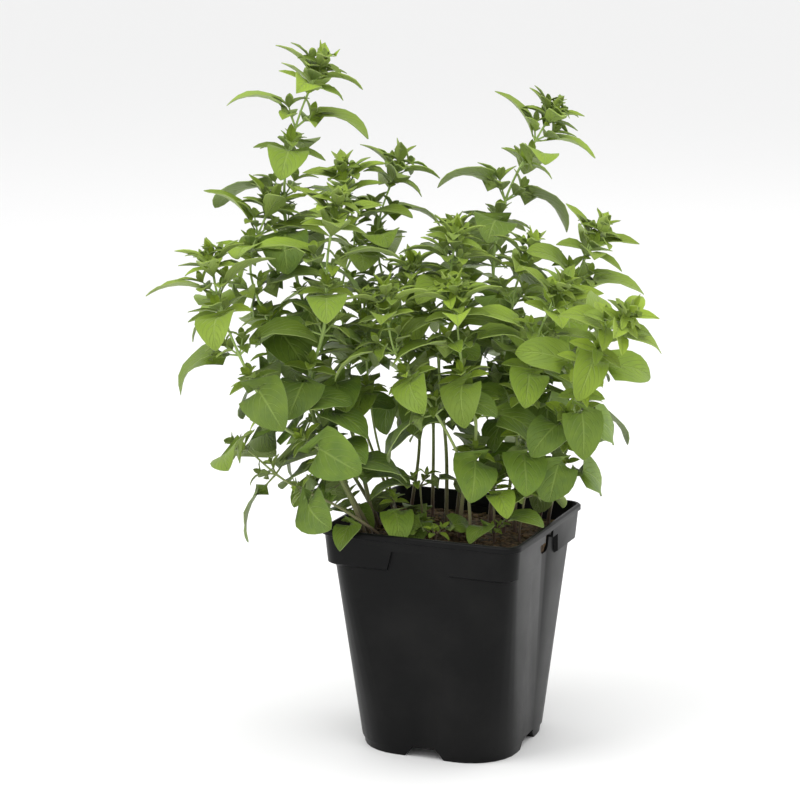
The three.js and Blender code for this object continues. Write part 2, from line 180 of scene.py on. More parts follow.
def join(parts: list[bpy.types.Object], name: str) -> bpy.types.Object:
    """Join objects into one.

    Args:
        parts: the objects, of which the first keeps its materials' order.
        name: the joined object's name.

    Returns:
        The joined object.
    """
    deselect_all()
    for part in parts:
        part.select_set(True)
    bpy.context.view_layer.objects.active = parts[0]
    if len(parts) > 1:
        bpy.ops.object.join()
    return name_active(name)


def unit(vector: np.ndarray) -> np.ndarray:
    """Vectors along the last axis, each one long."""
    return vector / np.maximum(np.linalg.norm(vector, axis=-1, keepdims=True), 1e-12)


# -------------------------------------------------------------------- finishes
class Nodes:
    """A short way to wire a material's nodes."""

    def __init__(self, name: str) -> None:
        """Start a material that holds a Principled BSDF and its output."""
        self.material = bpy.data.materials.new(name)
        self.material.use_nodes = True
        self.tree = self.material.node_tree
        self.shader = self.tree.nodes["Principled BSDF"]

    def add(self, kind: str, **settings: object) -> bpy.types.Node:
        """Add a node.

        Args:
            kind: the node's class name.
            **settings: values of the node's own properties.

        Returns:
            The new node.
        """
        node = self.tree.nodes.new(kind)
        for key, value in settings.items():
            setattr(node, key, value)
        return node

    def link(self, value: object, socket: bpy.types.NodeSocket) -> None:
        """Feed a socket from another socket, or set it to a plain value."""
        if isinstance(value, bpy.types.NodeSocket):
            self.tree.links.new(value, socket)
        else:
            socket.default_value = value

    def place(self) -> bpy.types.NodeSocket:
        """The object coordinates."""
        return self.add("ShaderNodeTexCoord").outputs["Object"]

    def attribute(self, name: str) -> bpy.types.NodeSocket:
        """The value of one of the piece's own attributes."""
        return self.add("ShaderNodeAttribute", attribute_name=name).outputs["Fac"]

    def noise(self, scale: float, detail: float = 3.0, vector: object = None) -> bpy.types.NodeSocket:
        """A noise pattern.

        Args:
            scale: repeats in a metre, or in one unit of the given vector.
            detail: how many finer layers it holds.
            vector: where it is read, or None for the object coordinates.

        Returns:
            The pattern's value, from 0 to 1.
        """
        node = self.add("ShaderNodeTexNoise")
        self.link(vector if vector is not None else self.place(), node.inputs["Vector"])
        node.inputs["Scale"].default_value = scale
        node.inputs["Detail"].default_value = detail
        return node.outputs["Fac"]

    def maths(self, operation: str, *values: object) -> bpy.types.NodeSocket:
        """A sum, product or other function of one to three values."""
        node = self.add("ShaderNodeMath", operation=operation)
        for value, socket in zip(values, node.inputs):
            self.link(value, socket)
        return node.outputs[0]

    def ramp(self, value: object, *stops: tuple[float, object]) -> bpy.types.NodeSocket:
        """A colour or grey that follows a value.

        Args:
            value: what it follows.
            *stops: pairs of a place from 0 to 1 and the colour, or grey, there.

        Returns:
            The ramp's colour.
        """
        node = self.add("ShaderNodeValToRGB")
        elements = node.color_ramp.elements
        while len(elements) < len(stops):
            elements.new(0.5)
        for element, (position, colour) in zip(elements, stops):
            element.position = position
            whole = (colour,) * 3 if isinstance(colour, float) else colour
            element.color = (*whole, 1.0)
        self.link(value, node.inputs["Fac"])
        return node.outputs["Color"]

    def blend(self, share: object, first: object, second: object, mode: str = "MIX") -> bpy.types.NodeSocket:
        """Two colours mixed.

        Args:
            share: how much of the second, from 0 to 1.
            first: the first colour.
            second: the second colour.
            mode: the way of mixing.

        Returns:
            The mixed colour.
        """
        node = self.add("ShaderNodeMix", data_type="RGBA", blend_type=mode)
        for value, index in ((share, 0), (first, 6), (second, 7)):
            whole = (*value, 1.0) if isinstance(value, tuple) else value
            self.link(whole, node.inputs[index])
        return node.outputs[2]

    def bump(self, height: object, strength: float, distance: float) -> None:
        """Roughen the shader's surface with a height pattern, on top of what it already has.

        Args:
            height: the pattern.
            strength: from 0 to 1.
            distance: the depth of the pattern in metres.
        """
        node = self.add("ShaderNodeBump")
        node.inputs["Strength"].default_value = strength
        node.inputs["Distance"].default_value = distance
        self.link(height, node.inputs["Height"])
        normal = self.shader.inputs["Normal"]
        if normal.is_linked:
            self.link(normal.links[0].from_socket, node.inputs["Normal"])
        self.link(node.outputs[0], normal)

    def vary(self, name: str, value: object, low: float, high: float) -> None:
        """Let one of the shader's values follow a pattern between two limits."""
        node = self.add("ShaderNodeMapRange")
        self.link(value, node.inputs["Value"])
        node.inputs["To Min"].default_value = low
        node.inputs["To Max"].default_value = high
        self.link(node.outputs[0], self.shader.inputs[name])


@dataclass(frozen=True)
class PotPlastic:
    """Black moulded plastic with a fine matt grain, a few scuffs and dust."""

    colour: tuple[float, float, float] = (0.0048, 0.0049, 0.005)
    dust: tuple[float, float, float] = (0.016, 0.0155, 0.015)

    def make(self) -> bpy.types.Material:
        """Wire the material."""
        nodes = Nodes("pot_plastic")
        cloudy = nodes.noise(28.0, 5.0)
        dusty = nodes.ramp(cloudy, (0.45, 0.0), (0.8, 0.55))
        nodes.link(nodes.blend(dusty, self.colour, self.dust), nodes.shader.inputs["Base Color"])
        nodes.vary("Roughness", nodes.noise(60.0, 6.0), 0.3, 0.42)
        nodes.shader.inputs["Specular IOR Level"].default_value = 0.1
        nodes.bump(nodes.noise(2600.0, 2.0), 0.2, 0.0001)
        nodes.bump(nodes.noise(18.0, 2.0), 0.25, 0.0005)
        return nodes.material


@dataclass(frozen=True)
class MixFinish:
    """Moist potting mix: dark peat with redder fibres between the crumbs."""

    dark: tuple[float, float, float] = (0.022, 0.015, 0.008)
    light: tuple[float, float, float] = (0.19, 0.12, 0.06)

    def make(self, name: str, lift: float = 0.0) -> bpy.types.Material:
        """Wire the material.

        Args:
            name: the material's name.
            lift: how far it leans to the lighter colour.

        Returns:
            The material.
        """
        nodes = Nodes(name)
        crumbs = nodes.noise(420.0, 6.0)
        tint = nodes.ramp(nodes.maths("ADD", crumbs, lift), (0.38, self.dark), (0.72, self.light))
        nodes.link(tint, nodes.shader.inputs["Base Color"])
        nodes.vary("Roughness", nodes.noise(150.0), 0.75, 1.0)
        nodes.shader.inputs["Specular IOR Level"].default_value = 0.25
        nodes.bump(nodes.noise(500.0, 2.0), 0.6, 0.0006)
        return nodes.material


@dataclass(frozen=True)
class LeafFinish:
    """A leaf's face: its colour goes from fresh to grown, with pinnate veins and a felt of fine hairs."""

    name: str
    fresh: tuple[float, float, float]
    grown: tuple[float, float, float]
    vein: tuple[float, float, float]
    vein_depth: float
    sheen: float

    def make(self) -> bpy.types.Material:
        """Wire the material."""
        nodes = Nodes(self.name)
        split = nodes.add("ShaderNodeSeparateXYZ")
        nodes.link(nodes.add("ShaderNodeTexCoord").outputs["UV"], split.inputs[0])
        across = nodes.maths("ABSOLUTE", nodes.maths("SUBTRACT", split.outputs["X"], 0.5))
        bend = nodes.maths("MULTIPLY", nodes.maths("POWER", across, 1.35), 0.95)
        along = nodes.maths("MULTIPLY", nodes.maths("SUBTRACT", split.outputs["Y"], bend), 9.0)
        gap = nodes.maths("ABSOLUTE", nodes.maths("SUBTRACT", nodes.maths("FRACT", along), 0.5))
        side_vein = nodes.ramp(gap, (0.0, 1.0), (0.13, 0.0))
        fade = nodes.ramp(across, (0.02, 1.0), (0.42, 0.25))
        midrib = nodes.ramp(across, (0.006, 1.0), (0.04, 0.0))
        veins = nodes.maths("MAXIMUM", nodes.maths("MULTIPLY", side_vein, fade), midrib)
        freshness = nodes.attribute("freshness")
        mottle = nodes.noise(140.0, 4.0)
        body = nodes.blend(freshness, self.grown, self.fresh)
        body = nodes.blend(nodes.ramp(mottle, (0.3, 0.0), (0.75, 0.35)), body, self.fresh)
        tone = nodes.add("ShaderNodeHueSaturation")
        spread = nodes.maths("MULTIPLY", nodes.attribute("tone"), 0.45)
        nodes.link(nodes.maths("ADD", spread, 0.78), tone.inputs["Value"])
        nodes.link(body, tone.inputs["Color"])
        tinted = nodes.blend(nodes.maths("MULTIPLY", veins, 0.42), tone.outputs[0], self.vein)
        nodes.link(tinted, nodes.shader.inputs["Base Color"])
        nodes.vary("Roughness", mottle, 0.5, 0.68)
        nodes.shader.inputs["Specular IOR Level"].default_value = 0.35
        nodes.shader.inputs["Sheen Weight"].default_value = self.sheen
        nodes.shader.inputs["Sheen Roughness"].default_value = 0.4
        nodes.bump(veins, 0.8, self.vein_depth)
        nodes.bump(nodes.noise(900.0, 3.0), 0.35, 0.0003)
        return nodes.material


@dataclass(frozen=True)
class StemFinish:
    """A hairy stem: light green above, brown and purple where it comes out of the mix."""

    foot: tuple[float, float, float] = (0.105, 0.055, 0.038)
    middle: tuple[float, float, float] = (0.24, 0.3, 0.085)
    top: tuple[float, float, float] = (0.36, 0.5, 0.13)

    def make(self) -> bpy.types.Material:
        """Wire the material."""
        nodes = Nodes("stem_skin")
        rise = nodes.maths("ADD", nodes.attribute("rise"), nodes.maths("MULTIPLY", nodes.noise(60.0), 0.16))
        tint = nodes.ramp(rise, (0.1, self.foot), (0.38, self.middle), (0.75, self.top))
        nodes.link(tint, nodes.shader.inputs["Base Color"])
        nodes.vary("Roughness", nodes.noise(500.0), 0.5, 0.75)
        nodes.shader.inputs["Sheen Weight"].default_value = 0.3
        nodes.bump(nodes.noise(1400.0, 3.0), 0.5, 0.0003)
        return nodes.material


@dataclass
class Finishes:
    """All the object's materials, made once."""

    pot: bpy.types.Material = field(default_factory=lambda: PotPlastic().make())
    mix: bpy.types.Material = field(default_factory=lambda: MixFinish().make("potting_mix"))
    crumb: bpy.types.Material = field(default_factory=lambda: MixFinish().make("mix_crumbs", 0.1))
    upper: bpy.types.Material = field(default_factory=lambda: LeafFinish(
        "leaf_upper", (0.26, 0.37, 0.024), (0.1, 0.172, 0.022), (0.3, 0.41, 0.09), -0.0005, 0.06).make())
    under: bpy.types.Material = field(default_factory=lambda: LeafFinish(
        "leaf_underside", (0.3, 0.4, 0.075), (0.2, 0.275, 0.08), (0.34, 0.42, 0.15), 0.0006, 0.15).make())
    stem: bpy.types.Material = field(default_factory=lambda: StemFinish().make())


# ----------------------------------------------------- reading the part's leaves
SHARES = np.array([0.0, 0.36, 0.74, 1.0])
RING_HEIGHT = 0.95 * MM
MIDDLE_SHARE = 0.35 / 0.95


def through(places: np.ndarray, values: np.ndarray, at: np.ndarray) -> np.ndarray:
    """The smooth line of lowest order through some values.

    Args:
        places: where the values stand, n numbers.
        values: n by 3.
        at: where the line is read, m numbers.

    Returns:
        m by 3 values.
    """
    total = np.zeros((len(at), values.shape[1]))
    for i, place in enumerate(places):
        others = np.delete(places, i)
        weight = np.prod([(at - other) / (place - other) for other in others], axis=0)
        total += weight[:, None] * values[i]
    return total


@dataclass
class LeafLine:
    """A leaf's middle line, and how its blade lies on it.

    The points stand at SHARES of the blade's length, and the normals point out of its upper face at the first
    three of them.
    """

    points: np.ndarray
    normals: np.ndarray
    half_width: float
    fold: float

    @property
    def length(self) -> float:
        """The blade's length along its middle line."""
        return float(np.linalg.norm(np.diff(self.points, axis=0), axis=1).sum())

    @property
    def ratio(self) -> float:
        """The blade's width over its length."""
        return 2 * self.half_width / self.length

    def start(self) -> np.ndarray:
        """The direction of the middle line at the petiole."""
        near = through(SHARES, self.points, np.array([0.0, 0.02]))
        return unit(near[1] - near[0])

    def frame(self, shares: np.ndarray) -> tuple[np.ndarray, np.ndarray, np.ndarray]:
        """The middle line's points, and the directions across and out of the blade.

        Args:
            shares: where, as shares of the blade's length.

        Returns:
            Points, directions across, and normals, each n by 3.
        """
        points = through(SHARES, self.points, shares)
        after = through(SHARES, self.points, shares + 0.01)
        ahead = unit(after - through(SHARES, self.points, shares - 0.01))
        normals = through(SHARES[:3], self.normals, shares)
        normals = unit(normals - (normals * ahead).sum(axis=1, keepdims=True) * ahead)
        return points, np.cross(ahead, normals), normals

    @classmethod
    def arc(cls, base: np.ndarray, heading: np.ndarray, up: np.ndarray, length: float, droop: float,
            ratio: float, fold: float = 0.35) -> "LeafLine":
        """A leaf that starts at a point and curves down along its length.

        Args:
            base: where the blade starts.
            heading: the direction in which it starts.
            up: a direction on its upper side.
            length: the blade's length.
            droop: how far it turns, in radians.
            ratio: its width over its length.
            fold: how far each half folds up, in radians.

        Returns:
            The leaf's line.
        """
        heading = unit(heading)
        up = unit(up - up.dot(heading) * heading)
        turns = SHARES * droop
        chords = length * SHARES * np.sinc(turns / 2 / np.pi)
        bends = np.cos(turns / 2)[:, None] * heading - np.sin(turns / 2)[:, None] * up
        points = base + chords[:, None] * bends
        normals = np.cos(turns)[:3, None] * up + np.sin(turns)[:3, None] * heading
        return cls(points, normals, length * ratio / 2, fold)


class ShootSolid:
    """A shoot's solid in the part, and the leaves that it holds."""

    def __init__(self, node: bpy.types.Object) -> None:
        """Weld the solid's loose triangles, in a list of neighbours of each corner."""
        points = points_of(node)
        self.points, where = np.unique(np.round(points, 6), axis=0, return_inverse=True)
        where = where.ravel()
        self.near: list[set[int]] = [set() for _ in self.points]
        for face in node.data.polygons:
            corners = [int(where[v]) for v in face.vertices]
            for a, b in zip(corners, corners[1:] + corners[:1]):
                if a != b:
                    self.near[a].add(b)
                    self.near[b].add(a)

    def beyond(self, ring: set[int], before: set[int]) -> set[int]:
        """The neighbours of a ring of corners on its far side."""
        found: set[int] = set().union(*(self.near[corner] for corner in ring))
        return found - ring - before

    def midrib(self, ring: set[int]) -> tuple[int, int] | None:
        """The two corners of a ring that lie on the midrib, above and below, or None."""
        corners = sorted(ring)
        for i, a in enumerate(corners):
            for b in corners[i + 1:]:
                gap = np.linalg.norm(self.points[a] - self.points[b])
                if abs(gap - RING_HEIGHT) < 0.02 * MM and b not in self.near[a]:
                    return a, b
        return None

    def leaf_at(self, tip: int) -> LeafLine | None:
        """The leaf that ends in a corner.

        Args:
            tip: the corner's number.

        Returns:
            The leaf's line, or None if the corner isn't a leaf's tip.
        """
        rings = [{tip}, set(self.near[tip])]
        if len(rings[1]) != 4:
            return None
        for _ in range(2):
            rings.append(self.beyond(rings[-1], rings[-2]))
        ribs = [self.midrib(ring) for ring in rings[1:]]
        if len(rings[2]) != 4 or ribs[0] is None or ribs[1] is None:
            return None
        middles = [self.points[list(rib)].mean(axis=0) for rib in ribs[:2]]
        if ribs[2] is not None and len(rings[3]) == 4:
            middles.append(self.points[list(ribs[2])].mean(axis=0))
        else:
            ribs[2] = None
        bulge = middles[0] - (self.points[tip] + middles[1]) / 2
        line, normals = [self.points[tip]], []
        for rib, ring in zip(ribs, rings[1:]):
            if rib is None:
                continue
            a, b = self.points[rib[0]], self.points[rib[1]]
            top, bottom = (a, b) if (a - b).dot(bulge) > 0 else (b, a)
            line.append(top + (bottom - top) * MIDDLE_SHARE)
            normals.append(unit(top - bottom))
        if len(line) == 3:
            back = through(SHARES[1:], np.array(line[::-1]), np.array([0.0]))[0]
            line.append(back)
            normals.append(unit(2 * normals[1] - normals[0]))
        edges = np.array([self.points[c] for c in rings[2] if c not in ribs[1]])
        half = float(np.linalg.norm(edges[0] - edges[1])) / 2
        lift = float((edges.mean(axis=0) - line[2]).dot(normals[1]))
        return LeafLine(np.array(line[::-1]), np.array(normals[::-1]), half, math.atan2(lift, half))

    def leaves(self) -> list[LeafLine]:
        """All the leaves of the shoot."""
        found = (self.leaf_at(corner) for corner in range(len(self.points)))
        return [leaf for leaf in found if leaf is not None]


# ------------------------------------------------------------------------ leaves
class LeafKind(Enum):
    """Faces across and along a leaf, and its outline as shares of its length and of its half width."""

    GROWN = (4, 10, ((0.0, 0.06), (0.05, 0.4), (0.13, 0.74), (0.25, 0.95), (0.4, 1.0), (0.56, 0.94),
                     (0.7, 0.8), (0.82, 0.6), (0.91, 0.39), (0.97, 0.18), (1.0, 0.02)))
    YOUNG = (4, 8, ((0.0, 0.06), (0.09, 0.32), (0.21, 0.7), (0.35, 0.96), (0.5, 1.0), (0.65, 0.84),
                    (0.79, 0.57), (0.91, 0.26), (1.0, 0.02)))
    TUFT = (2, 5, ((0.0, 0.08), (0.17, 0.62), (0.4, 1.0), (0.62, 0.88), (0.83, 0.5), (1.0, 0.02)))


@dataclass
class LeafPress:
    """Models one flat leaf of unit size, and lays copies of it along leaf lines."""

    finishes: Finishes
    thickness: float = 0.4 * MM
    petiole_radius: float = 0.62 * MM
    petiole_lap: float = 1.2 * MM
    blades: dict[LeafKind, bpy.types.Object] = field(default_factory=dict)
    petiole: bpy.types.Object | None = None

    def model(self) -> None:
        """Model the blades and the petiole that the copies are made from."""
        for kind in LeafKind:
            self.blades[kind] = self.model_blade(kind)
        deselect_all()
        bpy.ops.mesh.primitive_cylinder_add(vertices=5, radius=1.0, depth=1.0, location=(0, 0, 0))
        self.petiole = name_active("petiole_master")
        select_vertices(self.petiole, points_of(self.petiole)[:, 2] > 0.4)
        bpy.ops.transform.resize(value=(0.7, 0.7, 1.0), center_override=(0, 0, 0.5))
        bpy.ops.object.mode_set(mode="OBJECT")
        self.petiole.data.materials.append(self.finishes.stem)
        bpy.ops.object.shade_smooth()

    def model_blade(self, kind: LeafKind) -> bpy.types.Object:
        """Model a blade one unit long and two wide, flat, with its own underside.

        Args:
            kind: the leaf's kind.

        Returns:
            The blade, whose length runs along Y from 0 to 1.
        """
        across, along, outline = kind.value
        deselect_all()
        bpy.ops.mesh.primitive_grid_add(x_subdivisions=across, y_subdivisions=along, size=1,
                                        location=(0, 0.5, 0))
        blade = name_active(f"blade_master_{kind.name.lower()}")
        bpy.ops.object.transform_apply(location=True, rotation=False, scale=False)
        rows = points_of(blade)[:, 1]
        for place, (station, width) in zip(np.linspace(0.0, 1.0, along + 1), outline):
            select_vertices(blade, np.abs(rows - place) < 0.01)
            bpy.ops.transform.resize(value=(2 * width, 1.0, 1.0), center_override=(0, place, 0))
            bpy.ops.transform.translate(value=(0, station - place, 0))
            bpy.ops.object.mode_set(mode="OBJECT")
        blade.data.materials.append(self.finishes.upper)
        blade.data.materials.append(self.finishes.under)
        apply_modifier(blade, "SOLIDIFY", thickness=1.0, offset=-1.0, material_offset=1,
                       material_offset_rim=1)
        bpy.ops.object.shade_smooth_by_angle(angle=math.radians(60))
        return blade

    def lay(self, line: LeafLine, kind: LeafKind, freshness: float,
            dice: random.Random) -> bpy.types.Object:
        """Lay a copy of the blade along a leaf's line.

        Args:
            line: the leaf's line.
            kind: which blade.
            freshness: 1 for a leaf just grown, 0 for an old one.
            dice: where the small differences between leaves come from.

        Returns:
            The leaf's blade.
        """
        blade = copy_of(self.blades[kind], "blade")
        flat = points_of(blade)
        points, across, normals = line.frame(flat[:, 1])
        half = line.half_width
        side = np.abs(flat[:, 0])
        lift = math.tan(line.fold) * half * (np.hypot(side, 0.18) - 0.18)
        phase, waves = dice.uniform(0, 6.3), dice.uniform(7, 12)
        ripple = 0.07 * half * side ** 2 * np.sin(phase + waves * flat[:, 1] + 1.6 * np.sign(flat[:, 0]))
        rise = lift + ripple + flat[:, 2] * min(self.thickness, line.length * 0.03)
        set_points(blade, points + across * (flat[:, :1] * half) + normals * rise[:, None])
        set_attribute(blade, "freshness", freshness)
        set_attribute(blade, "tone", dice.random())
        return blade

    def stalk(self, start: np.ndarray, end: np.ndarray, radius: float,
              rise: float) -> bpy.types.Object:
        """A short stalk between two points.

        Args:
            start: where it leaves the stem.
            end: where the blade starts.
            radius: its radius at the stem.
            rise: how green it is, from 0 to 1.

        Returns:
            The stalk.
        """
        made = copy_of(self.petiole, "stalk")
        flat = points_of(made)
        ahead = unit(end - start)
        side = unit(np.cross(ahead, [0.31, 0.2, 0.93]))
        up = np.cross(side, ahead)
        along = start + np.outer(flat[:, 2] + 0.5, end - start)
        set_points(made, along + radius * (np.outer(flat[:, 0], side) + np.outer(flat[:, 1], up)))
        set_attribute(made, "rise", rise)
        return made

    def put_away(self) -> None:
        """Remove the masters."""
        for master in [*self.blades.values(), self.petiole]:
            bpy.data.objects.remove(master)


# ------------------------------------------------------------------------- stems
def smooth_line(points: list[tuple[float, float, float]], steps: int = 14) -> np.ndarray:
    """A centripetal Catmull-Rom line through some points.

    Args:
        points: the points.
        steps: how many pieces each stretch between two points is cut in.

    Returns:
        The line's points.
    """
    known = np.array(points, dtype=float)
    known = np.vstack([2 * known[0] - known[1], known, 2 * known[-1] - known[-2]])
    line = []
    for p0, p1, p2, p3 in zip(known, known[1:], known[2:], known[3:]):
        gaps = [math.sqrt(np.linalg.norm(b - a)) for a, b in ((p0, p1), (p1, p2), (p2, p3))]
        leave = (p1 - p0) / gaps[0] - (p2 - p0) / (gaps[0] + gaps[1]) + (p2 - p1) / gaps[1]
        reach = (p2 - p1) / gaps[1] - (p3 - p1) / (gaps[1] + gaps[2]) + (p3 - p2) / gaps[2]
        leave, reach = leave * gaps[1], reach * gaps[1]
        for t in np.arange(steps) / steps:
            line.append(p1 + leave * t + (3 * (p2 - p1) - 2 * leave - reach) * t ** 2
                        + (2 * (p1 - p2) + leave + reach) * t ** 3)
    line.append(known[-2])
    return np.array(line)


@dataclass
class Shoot:
    """One shoot: a square stem, the leaves that the part's solid holds, and the tufts in their axils."""

    number: int
    radius: float
    path: tuple[tuple[float, float, float], ...]
    press: LeafPress
    finishes: Finishes
    tip_radius: float = 0.6 * MM
    step: float = 4.5 * MM
    low: float = 112 * MM
    span: float = 150 * MM
    least_with_tuft: float = 12 * MM
    # a tuft's leaves: the place along its twig, how far each rises, leans out and leans sideways, and its
    # share of the tuft's full leaf length
    tuft: tuple[tuple[float, ...], ...] = (
        (0.55, 0.4, 0.3, 1.0, 1.0), (0.55, 0.4, 0.3, -1.0, 0.95), (1.0, 0.6, 0.85, 0.1, 0.8),
        (1.0, 0.9, -0.35, -0.1, 0.62), (1.0, 0.9, 0.2, 0.45, 0.5), (1.0, 0.9, 0.2, -0.45, 0.46))
    # a bud's leaves: quarter turns round the tip, how far each leans out, and its length in millimetres
    bud: tuple[tuple[float, ...], ...] = (
        (0, 0.35, 8), (2, 0.35, 8), (1, 0.2, 6), (3, 0.2, 6), (0.5, 0.1, 4), (2.5, 0.1, 4))
    line: np.ndarray = field(init=False)
    leaves: list[LeafLine] = field(init=False)
    seats: list[int] = field(init=False)

    @property
    def name(self) -> str:
        """The name of the shoot's solid in the part."""
        return f"shoot_{self.number:02d}"

    def read(self, frame: dict) -> None:
        """Take the stem's line from its path, and the leaves from the part."""
        foot, *rest = self.path
        grown = [(foot[0], foot[1], foot[2] - 4), (foot[0], foot[1], foot[2] + 4), *rest]
        dense = smooth_line([tuple(value * MM for value in point) for point in grown])
        steps = np.linalg.norm(np.diff(dense, axis=0), axis=1)
        way = np.concatenate([[0.0], np.cumsum(steps)])
        marks = np.linspace(0.0, way[-1], max(6, int(way[-1] / self.step)))
        self.line = np.stack([np.interp(marks, way, dense[:, axis]) for axis in range(3)], axis=1)
        self.leaves = ShootSolid(frame["nodes"][self.name]).leaves()
        self.seats = [self.seat_of(leaf) for leaf in self.leaves]

    def seat_of(self, leaf: LeafLine) -> int:
        """The number of the stem's point that a leaf grows from."""
        back = leaf.points[0] - np.outer(np.arange(0.0, 9.0, 0.3) * MM, leaf.start())
        gaps = np.linalg.norm(back[:, None] - self.line[None], axis=2)
        return int(np.unravel_index(gaps.argmin(), gaps.shape)[1])

    def rise(self, index: int) -> float:
        """How far up the plant a point of the stem is, from 0 at the mix to 1."""
        return float(np.clip((self.line[index][2] - self.low) / self.span, 0.0, 1.0))

    def build(self) -> None:
        """Build the shoot's two pieces, and let them stand for its solid."""
        dice = random.Random(91 * self.number)
        stem = self.build_stem()
        blades, stalks = [], []
        for leaf, seat in zip(self.leaves, self.seats):
            fresh = float(np.clip((0.68 - leaf.ratio) / 0.3, 0.0, 1.0))
            kind = LeafKind.GROWN if leaf.ratio > 0.47 else LeafKind.YOUNG
            blades.append(self.press.lay(leaf, kind, fresh, dice))
            width = self.press.petiole_radius * float(np.clip(leaf.length / (26 * MM), 0.5, 1.0))
            end = leaf.points[0] + leaf.start() * self.press.petiole_lap
            stalks.append(self.press.stalk(self.line[seat], end, width, self.rise(seat)))
            if leaf.length > self.least_with_tuft:
                self.add_tuft(leaf, seat, blades, stalks, dice)
        if len(self.leaves) > 6:
            self.add_bud(blades, dice)
        leaves = join(blades, f"{self.name}_leaves")
        stem = join([stem, *stalks], f"{self.name}_stem")
        for piece, slot in ((leaves, "foliage"), (stem, "stem")):
            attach(piece, "root")
            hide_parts(self.name)
        LOG.info("%s: %d leaves, %d faces", self.name, len(self.leaves), len(leaves.data.polygons))

    def build_stem(self) -> bpy.types.Object:
        """Model the stem as a square tube, swollen where leaves grow from it."""
        deselect_all()
        bpy.ops.curve.primitive_nurbs_path_add(location=(0, 0, 0))
        stem = name_active(f"{self.name}_stem")
        curve = stem.data
        curve.splines.clear()
        spline = curve.splines.new("POLY")
        spline.points.add(len(self.line) - 1)
        last = len(self.line) - 1
        for i, point in enumerate(self.line):
            spline.points[i].co = (*point, 1.0)
            taper = self.radius * MM + (self.tip_radius - self.radius * MM) * i / last
            spline.points[i].radius = (taper * (1.22 if i in self.seats else 1.0)) / MM
        curve.dimensions = "3D"
        curve.bevel_depth = 1.05 * MM
        curve.bevel_resolution = 0
        curve.use_fill_caps = True
        select_only(stem)
        bpy.ops.object.convert(target="MESH")
        stem = name_active(f"{self.name}_stem")
        apply_modifier(stem, "BEVEL", width=0.35 * MM, segments=2, limit_method="ANGLE",
                       angle_limit=math.radians(50))
        bpy.ops.object.shade_smooth()
        stem.data.materials.clear()
        stem.data.materials.append(self.finishes.stem)
        heights = np.clip((points_of(stem)[:, 2] - self.low) / self.span, 0.0, 1.0)
        layer = stem.data.attributes.new("rise", "FLOAT", "POINT")
        layer.data.foreach_set("value", heights)
        return stem

    def add_tuft(self, leaf: LeafLine, seat: int, blades: list, stalks: list,
                 dice: random.Random) -> None:
        """Grow a small tuft of young leaves in a leaf's axil.

        Args:
            leaf: the leaf.
            seat: the stem's point that it grows from.
            blades: the shoot's blades, to which the tuft's are added.
            stalks: the shoot's stalks, likewise.
            dice: where the tufts' differences come from.
        """
        ahead = self.line[min(seat + 1, len(self.line) - 1)] - self.line[max(seat - 1, 0)]
        up = unit(ahead)
        out = unit(leaf.start() - leaf.start().dot(up) * up)
        side = np.cross(up, out)
        vigour = (0.35 + 0.65 * self.rise(seat)) * min(1.0, leaf.length / (30 * MM))
        vigour *= dice.uniform(0.7, 1.15)
        start = self.line[seat]
        end = start + (0.84 * up + 0.55 * out) * (3 + 8 * vigour) * MM
        stalks.append(self.press.stalk(start, end, 0.55 * MM, self.rise(seat)))
        for place, rising, outward, sideways, share in self.tuft:
            heading = rising * up + outward * out + sideways * side * dice.uniform(0.75, 1.1)
            droop, ratio = dice.uniform(0.3, 1.1), dice.uniform(0.38, 0.5)
            line = LeafLine.arc(start + (end - start) * place, heading, up + 0.2 * out - 0.3 * unit(heading),
                                (4 + 15 * vigour) * share * MM, droop, ratio)
            blades.append(self.press.lay(line, LeafKind.TUFT, dice.uniform(0.35, 1.0), dice))

    def add_bud(self, blades: list, dice: random.Random) -> None:
        """Close the growing tip with its last small leaves.

        Args:
            blades: the shoot's blades, to which the bud's are added.
            dice: where the differences between buds come from.
        """
        up = unit(self.line[-1] - self.line[-3])
        side = unit(np.cross(up, [0.4, 0.9, 0.1]))
        other = np.cross(up, side)
        for turn, spread, length in self.bud:
            angle = turn * math.pi / 2
            out = math.cos(angle) * side + math.sin(angle) * other
            size = length * MM * dice.uniform(0.9, 1.2)
            line = LeafLine.arc(self.line[-1] - up * MM, up + spread * out, -out, size, 0.25, 0.4)
            line.normals = -line.normals
            line.fold = -line.fold
            blades.append(self.press.lay(line, LeafKind.TUFT, 1.0, dice))


